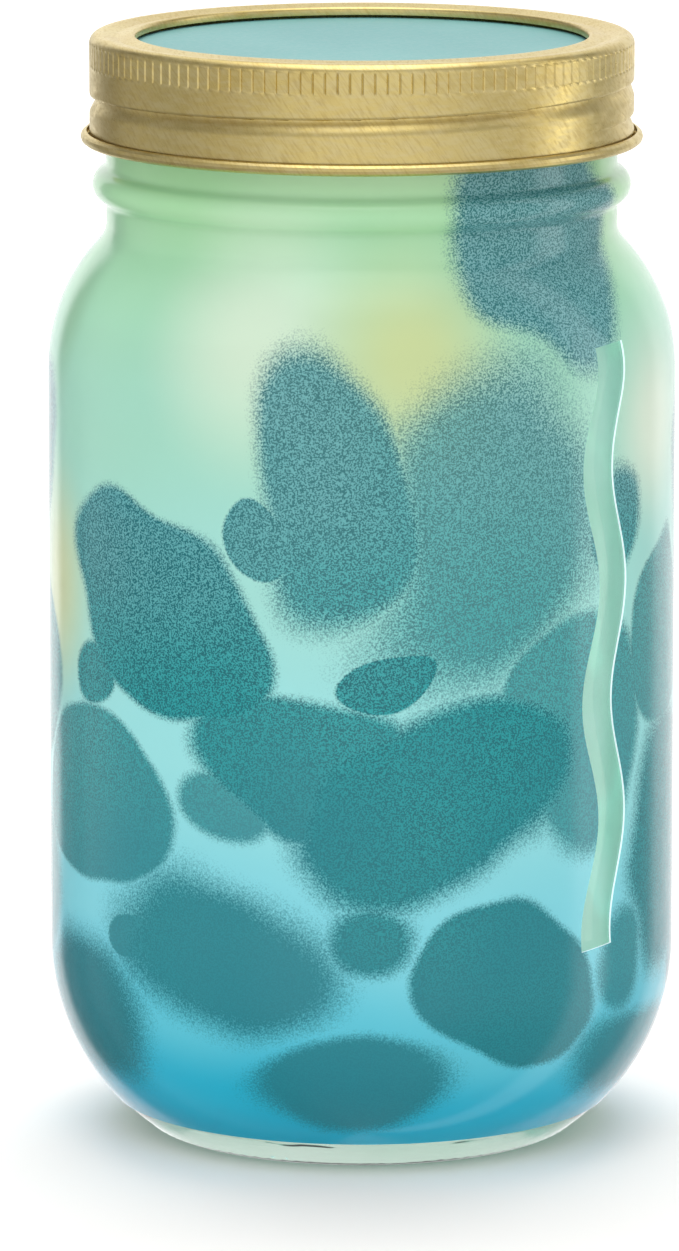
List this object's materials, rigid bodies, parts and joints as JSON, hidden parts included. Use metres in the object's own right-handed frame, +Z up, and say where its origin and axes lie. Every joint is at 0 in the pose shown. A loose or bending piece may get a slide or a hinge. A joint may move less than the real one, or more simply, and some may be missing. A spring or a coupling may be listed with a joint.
{
  "type": "hydroponic jar planter",
  "caption": "Glass screw-top jar with a printed coat and sight strip, holding a slotted pot, a wick and planting packets for growing a herb in water.",
  "frame": {"origin": "centre of the bottom of the jar, on the surface it stands on", "axes": "+Z up along the jar's axis; -Y faces the viewer, with the sight strip turned about 50 degrees from the front towards +X"},
  "size_m": [0.0988, 0.0988, 0.1743],
  "materials": {
    "clear_glass": "clear, polished by the mould, faint green tint",
    "printed_coat": "smooth printed coat, satin gloss",
    "gold_band": "brushed, pale gold lacquer",
    "lid_tinplate": "lacquered tinplate",
    "seal_rubber": "matte",
    "label_card": "matte printed card",
    "pot_steel": "satin",
    "wick_felt": "felt",
    "coir": "rough fibre",
    "seed_paper": "matte paper",
    "food_film": "satin film",
    "carbon_fleece": "non-woven fleece",
    "card_paper": "matte paper"
  },
  "bodies": {
    "jar": {"glass_jar": "clear_glass", "printed_wrap": "printed_coat", "net_pot": "pot_steel", "felt_wick": "wick_felt", "grow_medium": "coir", "seed_packet": "seed_paper", "plant_food_sachet": "food_film", "carbon_sachet": "carbon_fleece", "instruction_card": "card_paper"},
    "lid_insert": {"lid_disc": "lid_tinplate", "lid_gasket": "seal_rubber", "lid_label": "label_card"},
    "band": {"screw_band": "gold_band"}
  },
  "joints": [
    {"name": "lid_lift", "type": "slide", "parent": "jar", "child": "lid_insert", "axis": [0, 0, 1], "range_m": [0, 0.0204]},
    {"name": "band_turn", "type": "hinge", "parent": "lid_insert", "child": "band", "pos_m": [0, 0, 0.165], "axis": [0, 0, 1], "range_deg": [0, 1440]}
  ],
  "couplings": [
    {"joint": "lid_lift", "follows": "band_turn", "m_per_rad": 0.00080851}
  ]
}
